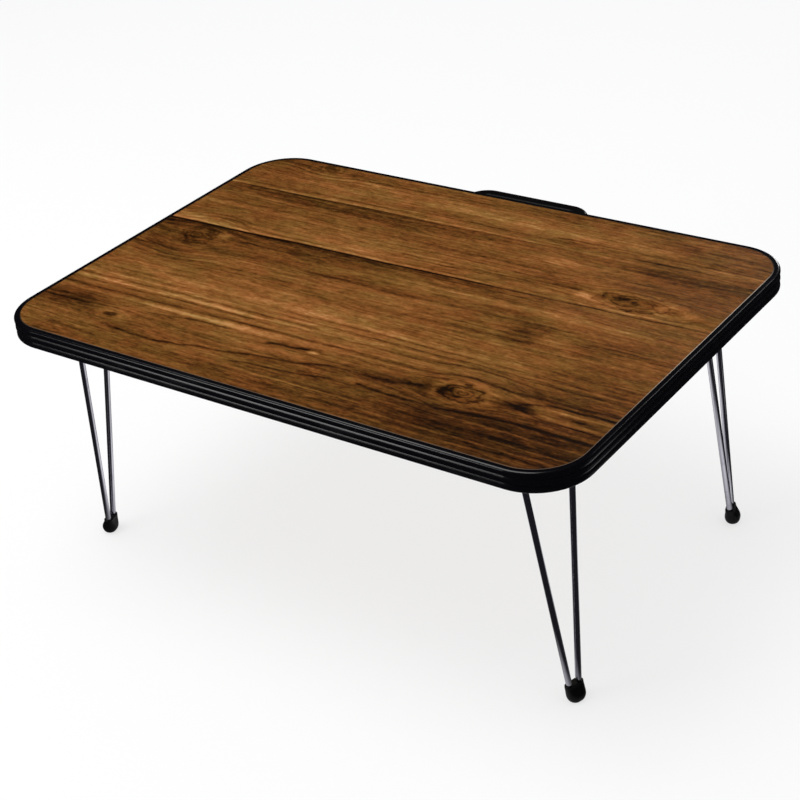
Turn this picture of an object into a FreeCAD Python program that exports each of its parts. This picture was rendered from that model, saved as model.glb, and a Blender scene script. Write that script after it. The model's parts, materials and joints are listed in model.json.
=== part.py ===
import FreeCAD, Part
import math
import os

# Low folding table: a wood-grain board in a ribbed black edge trim, on four
# bent-wire hairpin legs that fold flat under the top, with a D-shaped carry
# handle on the long back edge. Millimetres, +Z up, +X along the long edge,
# +Y towards the handle. The origin is on the floor, under the middle of the
# overall size.

V = FreeCAD.Vector
UP = V(0, 0, 1)

# Whole table
table_length = 600.0
table_depth = 420.0
table_height = 260.0
corner_radius = 50.0

# Board: a fibreboard core between a printed laminate and a backing sheet
core_thickness = 16.0
laminate_thickness = 0.8
backing_thickness = 0.6
groove_width = 2.6
groove_depth = 11.0

# Edge trim: an extruded T section with convex bands outside and a barbed tongue inside;
# its top lies a little below the worktop, its skirt hangs below the underside
trim_wall = 5.5
trim_drop = 0.15
trim_skirt = 1.6
trim_band_count = 3
trim_valley_depth = 0.9
trim_edge_round = 2.4
trim_inner_bevel = 0.3
tongue_length = 9.0
tongue_thickness = 1.5
barb_count = 3
barb_play = 0.1
barb_flat = 0.5
seam_gap = 0.4

# Legs: where they hinge, how far each is turned from the long edge, how far the
# feet lean out, and the bent wire itself
leg_from_end = 55.0
leg_from_side = 68.5
leg_turn_degrees = 17.0
leg_splay_degrees = 5.4
wire_diameter = 5.5
leg_half_spread = 27.0
elbow_bend_radius = 6.0
foot_bend_radius = 4.6
pivot_drop = 9.0
pin_overhang = 4.0
pin_chamfer = 0.8
pin_play = 0.1

# Hinge plate: one pressing with two ears for the pins and a stop flange
sheet_thickness = 1.5
sheet_bend_radius = 1.0
ear_gap = 0.6
ear_nose_radius = 7.0
ear_toe = 3.0
plate_reach = 30.0
flange_depth = 22.0
flange_side_gap = 3.0
flange_corner_radius = 5.0
stop_gap = 0.3
gusset_size = 6.0
gusset_thickness = 1.8
gusset_spacing = 24.0
slot_length = 24.0
slot_width = 7.0

# Foot cap: a moulded boot over the bend of the wire, with its ball set outwards
cap_height = 16.5
cap_width = 18.4
cap_neck_thickness = 8.8
cap_ball_thickness = 14.4
cap_toe = 1.1
cap_floor = 3.0
cap_top_round = 0.8
cap_grip_play = 0.1
sole_trim = 1.2
# Sections of the cap from the bottom up, below the neck: height, width, thickness
# and outward offset as shares of its height, its width, its ball and its toe
cap_section_shares = [
    (0.00, 0.42, 0.44, 1.00),
    (0.10, 0.74, 0.78, 1.00),
    (0.26, 0.92, 0.97, 1.00),
    (0.42, 0.98, 0.98, 0.90),
    (0.68, 1.00, 0.76, 0.40),
]

# Pan-head wood screws
screw_diameter = 3.5
screw_head_diameter = 7.0
screw_head_height = 2.2
screw_point_length = 3.0
screw_play = 0.05
screw_tip_room = 0.5
screw_clearance_diameter = 4.0
hinge_screw_length = 13.0
hinge_screw_spacing = 40.0
hinge_screw_rows = 2
hinge_screw_row_pitch = 15.0
hinge_screw_from_pivot = 8.0

# Carry handle: a rounded bar bent into a D, screwed on through two pads
handle_width = 140.0
handle_reach = 41.0
handle_drop = 15.5
grip_depth = 14.0
grip_thickness = 13.5
grip_round = 4.0
handle_corner_radius = 25.0
handle_trim_gap = 0.3
arm_taper = 14.0
pad_width = 20.0
pad_length = 43.0
pad_thickness = 6.0
pad_round = 1.5
handle_screw_length = 14.0
handle_screw_inset = 20.0
handle_screw_count = 2
handle_screw_pitch = 14.0
counterbore_diameter = 8.4
counterbore_depth = 2.4

# One overrun serves every cut that has to run past a face
overrun = 5.0

# Heights and plan sizes that follow from the sizes above
board_thickness = core_thickness + laminate_thickness + backing_thickness
underside_height = table_height - board_thickness
core_bottom = underside_height + backing_thickness
core_top = core_bottom + core_thickness
trim_top = table_height - trim_drop
trim_bottom = underside_height - trim_skirt
board_length = table_length - 2 * trim_wall
board_depth = table_depth - 2 * trim_wall
board_corner = corner_radius - trim_wall
table_y = -handle_reach / 2
back_edge_y = table_y + board_depth / 2

wire_radius = wire_diameter / 2
pivot_height = underside_height - pivot_drop
leg_length = pivot_height / math.cos(math.radians(leg_splay_degrees))
ear_inner = leg_half_spread + elbow_bend_radius + ear_gap
ear_outer = ear_inner + sheet_thickness
pin_tip = ear_outer + pin_overhang

leg_corners = {
    "front_left": (-1, -1),
    "front_right": (1, -1),
    "rear_left": (-1, 1),
    "rear_right": (1, 1),
}


def save(shape, node):
    shape.exportStep("parts/" + node + ".step")


def line(start, end):
    return Part.makeLine(start, end)


def arc(start, middle, end):
    return Part.Arc(start, middle, end).toShape()


def arc_leaving(start, direction, end):
    """Arc that leaves start along a direction and runs to end."""
    chord = end - start
    side = (chord - direction * chord.dot(direction)).normalize()
    radius = chord.dot(chord) / (2 * chord.dot(side))
    centre = start + side * radius
    middle = centre + ((start + end) / 2 - centre).normalize() * radius
    return arc(start, middle, end)


def polyline(points):
    """Straight edges through the points, in order."""
    return [line(first, second) for first, second in zip(points, points[1:])]


def rounded_rectangle(length, depth, radius):
    """Plan outline centred on the origin, with a round arc at each corner."""
    arcs = []
    for sx, sy in [(1, 1), (-1, 1), (-1, -1), (1, -1)]:
        centre = V(sx * (length / 2 - radius), sy * (depth / 2 - radius), 0)
        on_end = centre + V(sx * radius, 0, 0)
        on_side = centre + V(0, sy * radius, 0)
        middle = centre + V(sx, sy, 0).normalize() * radius
        if sx == sy:
            arcs.append(arc(on_end, middle, on_side))
        else:
            arcs.append(arc(on_side, middle, on_end))
    edges = []
    for first, second in zip(arcs, arcs[1:] + arcs[:1]):
        edges.append(first)
        edges.append(line(first.lastVertex().Point, second.firstVertex().Point))
    return Part.Wire(edges)


def stadium(width, thickness, level):
    """Round-ended section at a height, longer in x than in y."""
    radius = thickness / 2
    flat = width / 2 - radius
    return Part.Wire([
        line(V(-flat, -radius, level), V(flat, -radius, level)),
        arc(V(flat, -radius, level), V(flat + radius, 0, level), V(flat, radius, level)),
        line(V(flat, radius, level), V(-flat, radius, level)),
        arc(V(-flat, radius, level), V(-flat - radius, 0, level), V(-flat, -radius, level)),
    ])


def rounded_path(points, radii):
    """Edges of straight runs through the points, with a tangent arc at each inner point."""
    edges = []
    start = points[0]
    for before, corner, after, radius in zip(points, points[1:], points[2:], radii):
        back = (before - corner).normalize()
        ahead = (after - corner).normalize()
        half_angle = back.getAngle(ahead) / 2
        tangent = radius / math.tan(half_angle)
        inward = (back + ahead).normalize()
        middle = corner + inward * (radius / math.sin(half_angle) - radius)
        edges.append(line(start, corner + back * tangent))
        edges.append(arc(corner + back * tangent, middle, corner + ahead * tangent))
        start = corner + ahead * tangent
    edges.append(line(start, points[-1]))
    return edges


def bent_sheet(outer_points, inner_points):
    """Section of a bent sheet between the corner points of its outer and its inner face."""
    outer_radius = sheet_bend_radius + sheet_thickness
    outer = rounded_path(outer_points, [outer_radius] * (len(outer_points) - 2))
    inner = rounded_path(inner_points, [sheet_bend_radius] * (len(inner_points) - 2))
    ends = [line(outer_points[-1], inner_points[-1]), line(outer_points[0], inner_points[0])]
    return Part.Face(Part.Wire(Part.sortEdges(outer + inner + ends)[0]))


def centred_extrusion(face, width):
    """Extrude a face that lies in the plane x = 0 by half a width to either side."""
    solid = face.extrude(V(width, 0, 0))
    solid.translate(V(-width / 2, 0, 0))
    return solid


def board_plate(length, depth, radius, bottom, thickness):
    """Flat layer of the board with rounded corners, centred in the table's top."""
    plate = Part.Face(rounded_rectangle(length, depth, radius)).extrude(V(0, 0, thickness))
    plate.translate(V(0, table_y, bottom))
    return plate


def leg_frame(corner):
    """Placement of a leg's own frame: x along its hinge, y outwards, z = 0 on the underside."""
    sx, sy = leg_corners[corner]
    x = sx * (table_length / 2 - leg_from_end)
    y = sy * (table_depth / 2 - leg_from_side)
    turn = math.radians(leg_turn_degrees)
    outwards = V(sx * math.cos(turn), sy * math.sin(turn), 0)
    return FreeCAD.Placement(V(x, table_y + y, underside_height), FreeCAD.Rotation(V(0, 1, 0), outwards))


def placed(shape, corner):
    """Copy of a shape, moved from the leg's own frame to its corner of the table."""
    copy = shape.copy()
    copy.Placement = leg_frame(corner).multiply(copy.Placement)
    return copy


def hinge_screw_places():
    """Screw centres in the leg's own frame, in rows behind the pivot."""
    places = []
    for row in range(hinge_screw_rows):
        y = -hinge_screw_from_pivot - row * hinge_screw_row_pitch
        for side in (-1, 1):
            places.append(V(side * hinge_screw_spacing / 2, y, 0))
    return places


def handle_screw_places():
    """Screw centres under the back edge, in a line down each pad of the handle."""
    places = []
    for side in (-1, 1):
        x = side * (handle_width - grip_depth) / 2
        for index in range(handle_screw_count):
            y = back_edge_y - handle_screw_inset - index * handle_screw_pitch
            places.append(V(x, y, underside_height))
    return places


def screw(seat, length):
    """Pan-head screw on the z axis, point up, with its head under the seat height."""
    shank = screw_diameter / 2
    head = screw_head_diameter / 2
    crown = V(0, 0, seat - screw_head_height)
    rim = V(head, 0, seat - screw_head_height / 2)
    outline = [
        V(0, 0, seat + length),
        V(shank, 0, seat + length - screw_point_length),
        V(shank, 0, seat),
        V(head, 0, seat),
        rim,
    ]
    edges = polyline(outline) + [arc_leaving(crown, V(1, 0, 0), rim), line(crown, outline[0])]
    return Part.Face(Part.Wire(edges)).revolve(V(0, 0, 0), UP, 360)


def screw_bore(seat, length):
    """Hole for a screw's shank in the board, from below the seat to just past the point."""
    radius = screw_diameter / 2 + screw_play
    height = length + screw_tip_room + overrun
    return Part.makeCylinder(radius, height, V(0, 0, seat - overrun), UP)


def at_places(shape, places):
    """Compound of copies of a shape at the places."""
    copies = []
    for place in places:
        copy = shape.copy()
        copy.translate(place)
        copies.append(copy)
    return Part.makeCompound(copies)


hinge_screw_seat = -sheet_thickness
handle_screw_seat = -pad_thickness + counterbore_depth


def board_screw_bores():
    """Every screw's hole in the board, for the hinges and for the handle."""
    hinge_bores = at_places(screw_bore(hinge_screw_seat, hinge_screw_length), hinge_screw_places())
    bores = [placed(hinge_bores, corner) for corner in leg_corners]
    bores.append(at_places(screw_bore(handle_screw_seat, handle_screw_length), handle_screw_places()))
    return Part.makeCompound(bores)


def make_board_core():
    """Fibreboard with the trim's groove all round its edge and the screws' blind holes."""
    core = board_plate(board_length, board_depth, board_corner, core_bottom, core_thickness)
    groove_bottom = core_bottom + (core_thickness - groove_width) / 2
    outside = board_plate(
        board_length + 2 * overrun,
        board_depth + 2 * overrun,
        board_corner + overrun,
        groove_bottom,
        groove_width,
    )
    inside = board_plate(
        board_length - 2 * groove_depth,
        board_depth - 2 * groove_depth,
        board_corner - groove_depth,
        groove_bottom,
        groove_width,
    )
    return core.cut(outside.cut(inside)).cut(board_screw_bores())


def make_grain_laminate():
    """Printed laminate over the whole top of the core."""
    return board_plate(board_length, board_depth, board_corner, core_top, laminate_thickness)


def make_backing_sheet():
    """Thin sheet over the underside of the core, pierced by the screws."""
    sheet = board_plate(board_length, board_depth, board_corner, underside_height, backing_thickness)
    return sheet.cut(board_screw_bores())


def tongue_half(level, side):
    """Points of one side of the barbed tongue, from its root to its tip; side is 1 above, -1 below."""
    half = side * tongue_thickness / 2
    barb = side * (groove_width / 2 - barb_play)
    pitch = tongue_length / (barb_count + 1)
    points = [V(0, 0, level + half)]
    for index in range(1, barb_count + 1):
        root = -pitch * index
        points.append(V(0, root, level + half))
        points.append(V(0, root, level + barb))
        points.append(V(0, root - barb_flat, level + barb))
        points.append(V(0, root - pitch + barb_flat, level + half))
    points.append(V(0, -tongue_length, level + half))
    return points


def trim_section():
    """T section in the plane x = 0, with y = 0 on the board's edge and +Y out of the board."""
    top = trim_top
    bottom = trim_bottom
    crest = trim_wall
    valley = trim_wall - trim_valley_depth
    flat_end = trim_wall - trim_edge_round
    band = (top - bottom) / trim_band_count

    # Outer face: rounded upper edge, bands that meet in valleys, rounded lower edge
    shoulder = V(0, crest, top - trim_edge_round)
    heel = V(0, crest, bottom + trim_edge_round)
    face = [
        arc_leaving(V(0, flat_end, top), V(0, 1, 0), shoulder),
        arc_leaving(shoulder, -UP, V(0, valley, top - band)),
    ]
    for index in range(1, trim_band_count - 1):
        upper = top - band * index
        face.append(arc(V(0, valley, upper), V(0, crest, upper - band / 2), V(0, valley, upper - band)))
    face.append(arc_leaving(heel, UP, V(0, valley, bottom + band)))
    face.append(arc_leaving(V(0, flat_end, bottom), V(0, 1, 0), heel))

    # Underside, inner face with its tongue in the middle of the core, and top
    level = core_bottom + core_thickness / 2
    inner = [V(0, flat_end, bottom), V(0, trim_inner_bevel, bottom), V(0, 0, bottom + trim_inner_bevel)]
    inner += tongue_half(level, -1)
    inner += reversed(tongue_half(level, 1))
    inner += [V(0, 0, top - trim_inner_bevel), V(0, trim_inner_bevel, top), V(0, flat_end, top)]
    return Part.Face(Part.Wire(face + polyline(inner)))


def make_edge_trim():
    """The T section run round the board from one side of its butt seam to the other."""
    reach_x = board_length / 2 - board_corner
    reach_y = board_depth / 2 - board_corner
    section = trim_section()
    section.rotate(V(0, 0, 0), UP, 90)
    section.translate(V(-board_length / 2, table_y + reach_y - seam_gap, 0))
    runs = [
        (V(0, -1, 0), 2 * reach_y - seam_gap, V(-reach_x, table_y - reach_y, 0)),
        (V(1, 0, 0), 2 * reach_x, V(reach_x, table_y - reach_y, 0)),
        (V(0, 1, 0), 2 * reach_y, V(reach_x, table_y + reach_y, 0)),
        (V(-1, 0, 0), 2 * reach_x, V(-reach_x, table_y + reach_y, 0)),
    ]
    pieces = []
    for direction, length, corner_centre in runs:
        pieces.append(section.extrude(direction * length))
        section.translate(direction * length)
        pieces.append(section.revolve(corner_centre, UP, 90))
        section.rotate(corner_centre, UP, 90)
    return pieces[0].multiFuse(pieces[1:]).removeSplitter()


def beside_wires(offset, level):
    """Point at a height on a plane parallel to the opened wires, an offset outside their middle."""
    splay = math.radians(leg_splay_degrees)
    y = (offset - (level + pivot_drop) * math.sin(splay)) / math.cos(splay)
    return V(0, y, level)


def make_stop_flange():
    """Base strip with the flange that the opened wires lean against, and its gussets."""
    inner_offset = wire_radius + stop_gap
    outer_offset = inner_offset + sheet_thickness
    root = beside_wires(inner_offset, -sheet_thickness)
    outer = [V(0, -plate_reach, 0), beside_wires(outer_offset, 0), beside_wires(outer_offset, -flange_depth)]
    inner = [V(0, -plate_reach, -sheet_thickness), root, beside_wires(inner_offset, -flange_depth)]
    flange = centred_extrusion(bent_sheet(outer, inner), 2 * (ear_inner - flange_side_gap))
    lower_corners = [
        edge
        for edge in flange.Edges
        if edge.BoundBox.ZMax < sheet_thickness - flange_depth and edge.BoundBox.XLength < sheet_thickness
    ]
    flange = flange.makeFillet(flange_corner_radius, lower_corners)
    into_sheet = V(0, sheet_thickness, sheet_thickness) / 2
    gusset_points = [root - V(0, gusset_size, 0), root + into_sheet, root - V(0, 0, gusset_size)]
    gusset_face = Part.Face(Part.Wire(polyline(gusset_points + gusset_points[:1])))
    gusset = centred_extrusion(gusset_face, gusset_thickness)
    for side in (-1, 1):
        flange = flange.fuse(gusset.translated(V(side * gusset_spacing / 2, 0, 0)))
    return flange


def ear_side_view():
    """Side view of base and ear: a long toe under the base, and a round nose about the pin."""
    pivot = V(0, 0, -pivot_drop)
    toe = V(0, ear_toe - plate_reach, -sheet_thickness)
    heel = beside_wires(wire_radius + stop_gap + sheet_thickness, 0)
    nose = []
    for point, side in ((toe, 1), (heel, -1)):
        away = point - pivot
        lean = math.acos(ear_nose_radius / away.Length)
        angle = math.atan2(away.z, away.y) + side * lean
        nose.append(pivot + V(0, math.cos(angle), math.sin(angle)) * ear_nose_radius)
    tail = [V(0, -plate_reach, 0), V(0, -plate_reach, -sheet_thickness), toe, nose[0]]
    below = pivot - UP * ear_nose_radius
    edges = polyline(tail) + [arc(nose[0], below, nose[1])] + polyline([nose[1], heel, tail[0]])
    return Part.Face(Part.Wire(edges))


def make_hinge_plate():
    """Pressed hinge plate in the leg's own frame, lying against the underside."""
    outer = [
        V(-ear_outer, 0, -flange_depth),
        V(-ear_outer, 0, 0),
        V(ear_outer, 0, 0),
        V(ear_outer, 0, -flange_depth),
    ]
    inner = [
        V(-ear_inner, 0, -flange_depth),
        V(-ear_inner, 0, -sheet_thickness),
        V(ear_inner, 0, -sheet_thickness),
        V(ear_inner, 0, -flange_depth),
    ]
    channel = bent_sheet(outer, inner).extrude(V(0, plate_reach + pivot_drop + ear_nose_radius, 0))
    channel.translate(V(0, -plate_reach, 0))
    side_view = centred_extrusion(ear_side_view(), 2 * (ear_outer + overrun))
    plate = channel.common(side_view).fuse(make_stop_flange())

    pin_start = V(-ear_outer - overrun, 0, -pivot_drop)
    pin_holes = Part.makeCylinder(wire_radius + pin_play, 2 * (ear_outer + overrun), pin_start, V(1, 0, 0))
    hole = Part.makeCylinder(screw_clearance_diameter / 2, 2 * overrun, V(0, 0, -overrun), UP)
    screw_holes = at_places(hole, hinge_screw_places())
    slot = Part.Face(stadium(slot_length, slot_width, -overrun)).extrude(V(0, 0, 2 * overrun))
    slot.translate(V(0, -hinge_screw_from_pivot - hinge_screw_row_pitch / 2, 0))
    return plate.cut([pin_holes, screw_holes, slot]).removeSplitter()


def make_hinge_screws():
    """Separate screws of one hinge plate, in the leg's own frame."""
    return at_places(screw(hinge_screw_seat, hinge_screw_length), hinge_screw_places())


def round_leg_bar(radius):
    """Round bar along one leg's centre line, upright, with its hinge line on the x axis."""
    bend_level = leg_length - cap_floor - wire_radius - foot_bend_radius
    reach = math.hypot(leg_half_spread, bend_level)
    lean = math.acos(foot_bend_radius / reach) - math.atan2(bend_level, leg_half_spread)
    apex = leg_half_spread / math.tan(lean)
    points = [
        V(-pin_tip, 0, 0),
        V(-leg_half_spread, 0, 0),
        V(0, 0, -apex),
        V(leg_half_spread, 0, 0),
        V(pin_tip, 0, 0),
    ]
    path = Part.Wire(rounded_path(points, [elbow_bend_radius, foot_bend_radius, elbow_bend_radius]))
    circle = Part.Wire(Part.makeCircle(radius, points[0], V(1, 0, 0)))
    return path.makePipe(Part.Face(circle))


def opened(shape):
    """Lean an upright leg piece out by the splay and hang it at the pivot."""
    leaning = shape.rotated(V(0, 0, 0), V(1, 0, 0), leg_splay_degrees)
    return leaning.translated(V(0, 0, -pivot_drop))


def make_leg_wire():
    """Hairpin leg: two pins, two elbows, two long sides and the bend at the foot."""
    wire = round_leg_bar(wire_radius)
    rims = [
        edge
        for edge in wire.Edges
        if min(abs(edge.BoundBox.XMin), abs(edge.BoundBox.XMax)) > pin_tip - pin_chamfer
    ]
    return opened(wire.makeChamfer(pin_chamfer, rims))


def make_foot_cap():
    """Boot with an oblong neck, a fuller ball and a small flat sole on the floor."""
    lowest = -leg_length - sole_trim
    height = cap_height + sole_trim
    sections = []
    for level_share, width_share, thickness_share, toe_share in cap_section_shares:
        level = lowest + height * level_share
        section = stadium(cap_width * width_share, cap_ball_thickness * thickness_share, level)
        section.translate(V(0, cap_toe * toe_share, 0))
        sections.append(section)
    sections.append(stadium(cap_width, cap_neck_thickness, lowest + height))
    cap = Part.makeLoft(sections, True)
    mouth = [edge for edge in cap.Edges if edge.BoundBox.ZMin > lowest + height - cap_top_round]
    cap = cap.makeFillet(cap_top_round, mouth)
    cap = opened(cap.cut(round_leg_bar(wire_radius + cap_grip_play)))
    floor_corner = V(-cap_width, -cap_width - leg_length, -underside_height - cap_height)
    return cap.cut(Part.makeBox(2 * cap_width, 2 * leg_length + 2 * cap_width, cap_height, floor_corner))


def handle_pad(x):
    """Round-ended pad under the board, with its lower edges softened."""
    bottom = underside_height - pad_thickness
    radius = pad_width / 2
    neck = back_edge_y - pad_length + radius
    tip = V(x, back_edge_y - pad_length, bottom)
    left = [V(x - radius, back_edge_y, bottom), V(x - radius, neck, bottom)]
    right = [V(x + radius, neck, bottom), V(x + radius, back_edge_y, bottom)]
    outline = polyline(left) + [arc(left[1], tip, right[0])] + polyline(right + left[:1])
    pad = Part.Face(Part.Wire(outline)).extrude(V(0, 0, pad_thickness))
    lower = [
        edge
        for edge in pad.Edges
        if edge.BoundBox.ZMax < bottom + pad_round and edge.BoundBox.YMin < back_edge_y - pad_round
    ]
    return pad.makeFillet(pad_round, lower)


def room_under_arms():
    """Wedge below the slope on which the arms rise from their full depth to the pads."""
    inner_y = back_edge_y - arm_taper
    pad_bottom = underside_height - pad_thickness
    arm_bottom = table_height - handle_drop - grip_thickness
    points = [
        V(0, inner_y, pad_bottom),
        V(0, back_edge_y, arm_bottom),
        V(0, back_edge_y, arm_bottom - overrun),
        V(0, inner_y - overrun, arm_bottom - overrun),
        V(0, inner_y - overrun, pad_bottom),
        V(0, inner_y, pad_bottom),
    ]
    return centred_extrusion(Part.Face(Part.Wire(polyline(points))), 2 * handle_width)


def make_carry_handle():
    """D-shaped bar with its ends under the board, stepped to clear the trim."""
    arm_x = (handle_width - grip_depth) / 2
    arm_end_y = back_edge_y - arm_taper
    bar_y = table_y + table_depth / 2 + handle_reach - grip_depth / 2
    level = table_height - handle_drop - grip_thickness / 2
    points = [
        V(-arm_x, arm_end_y, level),
        V(-arm_x, bar_y, level),
        V(arm_x, bar_y, level),
        V(arm_x, arm_end_y, level),
    ]
    bend = handle_corner_radius - grip_depth / 2
    section = rounded_rectangle(grip_depth, grip_thickness, grip_round)
    section.rotate(V(0, 0, 0), V(1, 0, 0), 90)
    section.translate(points[0])
    bar = Part.Wire(rounded_path(points, [bend, bend])).makePipe(Part.Face(section))
    handle = bar.cut(room_under_arms()).fuse([handle_pad(-arm_x), handle_pad(arm_x)])

    board_room = Part.makeBox(2 * handle_width, board_depth, table_height)
    board_room.translate(V(-handle_width, back_edge_y - board_depth, underside_height))
    trim_room = Part.makeBox(2 * handle_width, trim_wall + 2 * handle_trim_gap, table_height)
    trim_room.translate(V(-handle_width, back_edge_y - handle_trim_gap, trim_bottom - handle_trim_gap))
    hole = Part.makeCylinder(screw_clearance_diameter / 2, 2 * pad_thickness, V(0, 0, -pad_thickness), UP)
    counterbore = Part.makeCylinder(
        counterbore_diameter / 2,
        counterbore_depth + overrun,
        V(0, 0, handle_screw_seat - counterbore_depth - overrun),
        UP,
    )
    screw_room = at_places(hole.fuse(counterbore), handle_screw_places())
    return handle.cut([board_room, trim_room, screw_room]).removeSplitter()


def make_handle_screws():
    """Separate screws through the handle's pads."""
    return at_places(screw(handle_screw_seat, handle_screw_length), handle_screw_places())


os.makedirs("parts", exist_ok=True)

save(make_board_core(), "board_core")
save(make_grain_laminate(), "grain_laminate")
save(make_backing_sheet(), "backing_sheet")
save(make_edge_trim(), "edge_trim")
save(make_carry_handle(), "carry_handle")
save(make_handle_screws(), "handle_screws")

leg_set = {
    "hinge_plate": make_hinge_plate(),
    "hinge_screws": make_hinge_screws(),
    "leg_wire": make_leg_wire(),
    "foot_cap": make_foot_cap(),
}
for corner in leg_corners:
    for piece, shape in leg_set.items():
        save(placed(shape, corner), piece + "_" + corner)
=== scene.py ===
import json
import math
from typing import NamedTuple

import bpy
from bpy.props import FloatProperty, FloatVectorProperty, PointerProperty
from mathutils import Matrix, Vector


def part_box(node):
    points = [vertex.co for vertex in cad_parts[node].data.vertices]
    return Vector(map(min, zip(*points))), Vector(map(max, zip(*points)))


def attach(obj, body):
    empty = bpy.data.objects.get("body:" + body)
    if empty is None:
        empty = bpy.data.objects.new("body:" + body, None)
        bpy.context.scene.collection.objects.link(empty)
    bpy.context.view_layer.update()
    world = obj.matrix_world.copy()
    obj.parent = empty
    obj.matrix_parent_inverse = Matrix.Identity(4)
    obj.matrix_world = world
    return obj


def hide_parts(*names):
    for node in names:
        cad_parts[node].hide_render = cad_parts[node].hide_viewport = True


bl_info = {
    "name": "Folding Low Table",
    "version": (1, 0, 0),
    "blender": (4, 5, 0),
    "location": "View3D > Sidebar > Low Table",
    "description": "Dresses a folding low table with a wood print, black trim and bright wire legs",
    "category": "Object",
}

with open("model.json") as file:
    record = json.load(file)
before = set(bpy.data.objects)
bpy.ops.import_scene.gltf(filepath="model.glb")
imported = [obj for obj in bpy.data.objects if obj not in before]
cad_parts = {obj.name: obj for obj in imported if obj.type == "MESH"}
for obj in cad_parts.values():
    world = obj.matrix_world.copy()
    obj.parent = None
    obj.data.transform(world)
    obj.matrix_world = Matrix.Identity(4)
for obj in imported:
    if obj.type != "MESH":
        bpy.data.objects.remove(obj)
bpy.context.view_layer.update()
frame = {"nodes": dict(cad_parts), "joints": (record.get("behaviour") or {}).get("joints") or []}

MM = 0.001


class Signal:
    """A value over a surface: one output of a node, which takes part in sums."""

    def __init__(self, finish, socket):
        self.finish = finish
        self.socket = socket

    def worked(self, operation, *others):
        return self.finish.sum(operation, self, *others)

    def __add__(self, other):
        return self.worked("ADD", other)

    __radd__ = __add__

    def __sub__(self, other):
        return self.worked("SUBTRACT", other)

    def __rsub__(self, other):
        return self.finish.sum("SUBTRACT", other, self)

    def __mul__(self, other):
        return self.worked("MULTIPLY", other)

    __rmul__ = __mul__

    def __truediv__(self, other):
        return self.worked("DIVIDE", other)

    def __rtruediv__(self, other):
        return self.finish.sum("DIVIDE", other, self)

    def __pow__(self, other):
        return self.worked("POWER", other)

    def __rpow__(self, other):
        return self.finish.sum("POWER", other, self)

    def __abs__(self):
        return self.worked("ABSOLUTE")


class Layer(NamedTuple):
    """Noise with streaks of a length, a width and a height in millimetres, and its finer octaves."""

    length: float
    width: float
    height: float = 1.0
    octaves: float = 2.0
    roughness: float = 0.5
    seed: float = 0.0


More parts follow.
